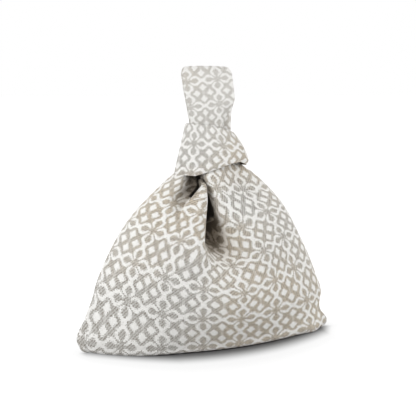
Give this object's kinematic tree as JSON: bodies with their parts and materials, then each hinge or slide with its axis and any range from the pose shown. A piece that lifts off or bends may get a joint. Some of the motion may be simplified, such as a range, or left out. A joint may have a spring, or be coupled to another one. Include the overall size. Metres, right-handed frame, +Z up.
{
  "type": "handbag",
  "caption": "Small knot bag of patterned cloth: a lined body gathered to a neck, a wrist loop, and a strap wrapped round the neck as a collar.",
  "frame": {"origin": "middle of the base, on the surface that the bag stands on", "axes": "+Z up through the wrist loop, +X towards the right-hand bottom corner, the front faces -Y"},
  "size_m": [0.2876, 0.106, 0.296],
  "materials": {
    "patterned_cloth": "woven cream lattice on a grey-beige ground",
    "lining_cloth": "plain weave"
  },
  "bodies": {
    "root": {"front_panel": "patterned_cloth", "back_panel": "patterned_cloth", "front_lining": "lining_cloth", "back_lining": "lining_cloth", "long_strap": "patterned_cloth", "short_strap": "patterned_cloth"}
  },
  "joints": []
}
